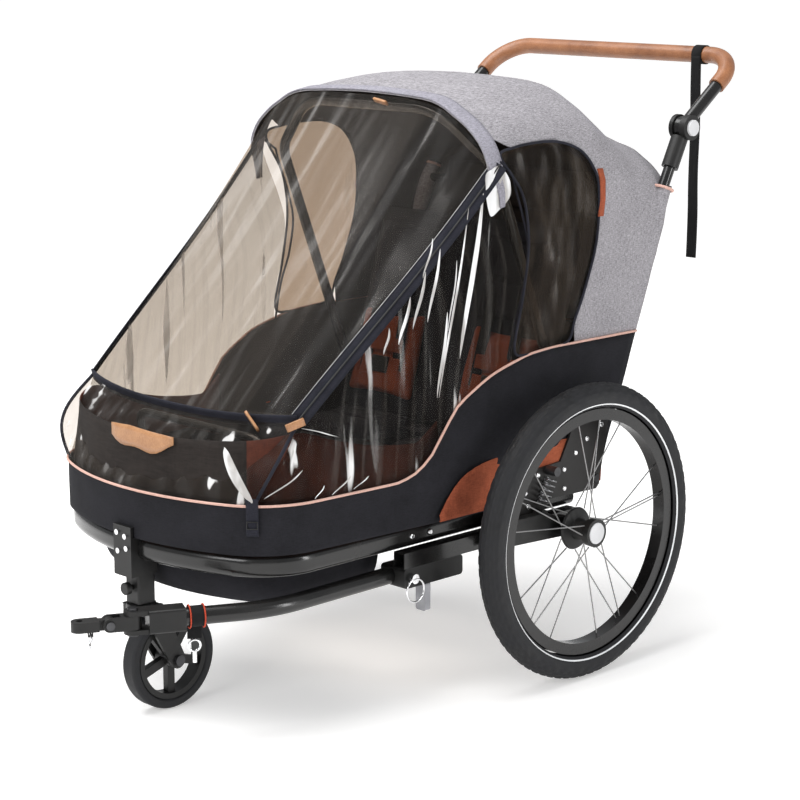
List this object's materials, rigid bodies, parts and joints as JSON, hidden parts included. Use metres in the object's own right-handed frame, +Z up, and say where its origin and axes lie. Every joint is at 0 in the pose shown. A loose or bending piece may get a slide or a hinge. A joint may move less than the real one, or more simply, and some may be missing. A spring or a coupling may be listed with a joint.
{
  "type": "child bicycle trailer",
  "caption": "Enclosed child bicycle trailer in stroller setting, with spoked rear wheels, a small front caster, a folding fabric cabin, a push bar and an offset tow arm.",
  "frame": {"origin": "centre of the bounding box's base, on the ground between the wheels", "axes": "+X towards the trailer's own left, +Y towards its rear where the push bar is, +Z up; the front caster and the tow arm point to -Y"},
  "size_m": [0.783, 1.3813, 1.0248],
  "materials": {
    "black_tube": "gloss",
    "black_casting": "satin",
    "black_plate": "satin",
    "bright_steel": "polished",
    "dark_steel": "satin",
    "silver_aluminium": "satin",
    "tyre_rubber": "matte",
    "charcoal_fabric": "matte",
    "grey_melange_fabric": "matte",
    "orange_fabric": "matte",
    "tinted_film": "gloss",
    "clear_film": "gloss",
    "brown_leather": "satin",
    "black_webbing": "matte",
    "grey_plastic": "satin",
    "clear_plastic": "gloss"
  },
  "bodies": {
    "chassis": {"floor_frame_tube": "black_tube", "cross_tubes": "black_tube", "side_rails": "black_tube", "side_plates": "black_plate", "rivets": "bright_steel", "fold_pivot_bolts": "dark_steel", "body_shell": "charcoal_fabric", "footwell": "charcoal_fabric", "seat_bench": "charcoal_fabric", "canopy": "grey_melange_fabric", "side_windows": "tinted_film", "rain_cover": "clear_film", "nose_hoop": "black_tube", "suspension_pins": "dark_steel", "spring_left": "bright_steel", "spring_right": "bright_steel", "nose_bracket": "black_casting", "tow_arm_tube": "black_tube", "tow_receiver": "black_casting", "lock_pin": "bright_steel", "reflector": "clear_plastic", "coupler_clamp": "black_casting", "yaw_bolt": "dark_steel", "safety_strap": "black_webbing", "snap_hook": "bright_steel"},
    "rear_frame": {"rear_frame_tube": "black_tube", "stem_knuckles": "black_casting", "knuckle_bolts": "dark_steel"},
    "handlebar": {"handlebar_tube": "black_tube", "leather_grip": "brown_leather", "wrist_strap": "black_webbing"},
    "knuckle_button_left": {"knuckle_button_left": "grey_plastic"},
    "knuckle_button_right": {"knuckle_button_right": "grey_plastic"},
    "front_bow": {"front_bow": "black_tube"},
    "seat_back": {"seat_back": "charcoal_fabric", "seat_pads": "orange_fabric", "harness_straps": "black_webbing"},
    "arm_left": {"swing_arm_left": "black_casting", "axle_left": "dark_steel"},
    "arm_right": {"swing_arm_right": "black_casting", "axle_right": "dark_steel"},
    "wheel_left": {"tyre_left": "tyre_rubber", "rim_left": "black_plate", "spokes_left": "dark_steel", "hub_left": "black_casting"},
    "wheel_right": {"tyre_right": "tyre_rubber", "rim_right": "black_plate", "spokes_right": "dark_steel", "hub_right": "black_casting"},
    "axle_button_left": {"axle_button_left": "silver_aluminium"},
    "axle_button_right": {"axle_button_right": "silver_aluminium"},
    "caster": {"caster_fork": "black_casting", "front_axle": "dark_steel"},
    "front_wheel": {"front_tyre": "tyre_rubber", "front_rim": "black_casting"},
    "release_knob": {"release_knob": "black_casting"},
    "coupler": {"coupler_block": "black_casting", "pitch_bolt": "dark_steel"},
    "tongue": {"hitch_tongue": "black_casting"},
    "hitch_ring": {"hitch_ring": "bright_steel"}
  },
  "joints": [
    {"name": "frame_fold", "type": "hinge", "parent": "chassis", "child": "rear_frame", "pos_m": [0, 0.279, 0.312], "axis": [1, 0, 0], "range_deg": [0, 103], "deforming": ["canopy", "rain_cover", "body_shell", "side_windows"]},
    {"name": "bow_fold", "type": "hinge", "parent": "chassis", "child": "front_bow", "pos_m": [0, 0.279, 0.312], "axis": [1, 0, 0], "range_deg": [0, 66.5]},
    {"name": "seat_fold", "type": "hinge", "parent": "chassis", "child": "seat_back", "pos_m": [0, 0.201, 0.378], "axis": [1, 0, 0], "range_deg": [0, 72.5]},
    {"name": "handle_tilt", "type": "hinge", "parent": "rear_frame", "child": "handlebar", "pos_m": [0, 0.519, 0.893], "axis": [1, 0, 0], "range_deg": [-50, 60], "deforming": ["wrist_strap"]},
    {"name": "knuckle_button_left_press", "type": "slide", "parent": "rear_frame", "child": "knuckle_button_left", "axis": [-1, 0, 0], "range_m": [0, 0.003], "stiffness_N_per_m": 800},
    {"name": "knuckle_button_right_press", "type": "slide", "parent": "rear_frame", "child": "knuckle_button_right", "axis": [1, 0, 0], "range_m": [0, 0.003], "stiffness_N_per_m": 800},
    {"name": "suspension_left", "type": "hinge", "parent": "chassis", "child": "arm_left", "pos_m": [0, 0.031, 0.262], "axis": [1, 0, 0], "range_deg": [-3, 10], "stiffness_Nm_per_rad": 500, "springref_deg": 0.37, "deforming": ["spring_left"]},
    {"name": "wheel_left_spin", "type": "hinge", "parent": "arm_left", "child": "wheel_left", "pos_m": [0, 0.181, 0.25], "axis": [1, 0, 0], "continuous": true},
    {"name": "axle_button_left_press", "type": "slide", "parent": "arm_left", "child": "axle_button_left", "axis": [-1, 0, 0], "range_m": [0, 0.003], "stiffness_N_per_m": 800},
    {"name": "suspension_right", "type": "hinge", "parent": "chassis", "child": "arm_right", "pos_m": [0, 0.031, 0.262], "axis": [1, 0, 0], "range_deg": [-3, 10], "stiffness_Nm_per_rad": 500, "springref_deg": 0.37, "deforming": ["spring_right"]},
    {"name": "wheel_right_spin", "type": "hinge", "parent": "arm_right", "child": "wheel_right", "pos_m": [0, 0.181, 0.25], "axis": [1, 0, 0], "continuous": true},
    {"name": "axle_button_right_press", "type": "slide", "parent": "arm_right", "child": "axle_button_right", "axis": [1, 0, 0], "range_m": [0, 0.003], "stiffness_N_per_m": 800},
    {"name": "caster_swivel", "type": "hinge", "parent": "chassis", "child": "caster", "pos_m": [0, -0.469, 0.2], "axis": [0, 0, 1], "continuous": true},
    {"name": "front_wheel_spin", "type": "hinge", "parent": "caster", "child": "front_wheel", "pos_m": [0, -0.416, 0.083], "axis": [1, 0, 0], "continuous": true},
    {"name": "caster_lock_pull", "type": "slide", "parent": "chassis", "child": "release_knob", "axis": [0, -1, 0], "range_m": [0, 0.006], "stiffness_N_per_m": 800},
    {"name": "hitch_yaw", "type": "hinge", "parent": "chassis", "child": "coupler", "pos_m": [0.15782, -0.60658, 0.22], "axis": [0, 0, 1], "range_deg": [-60, 60]},
    {"name": "hitch_pitch", "type": "hinge", "parent": "coupler", "child": "tongue", "pos_m": [0.14119, -0.63851, 0.22], "axis": [0.8869, -0.462, 0], "range_deg": [-35, 35]},
    {"name": "ring_swing", "type": "hinge", "parent": "tongue", "child": "hitch_ring", "pos_m": [0.12826, -0.66334, 0.207], "axis": [0.8869, -0.462, 0], "range_deg": [-60, 60]}
  ],
  "couplings": [
    {"joint": "bow_fold", "follows": "frame_fold", "ratio": 0.6408},
    {"joint": "seat_fold", "follows": "frame_fold", "ratio": 0.7}
  ]
}
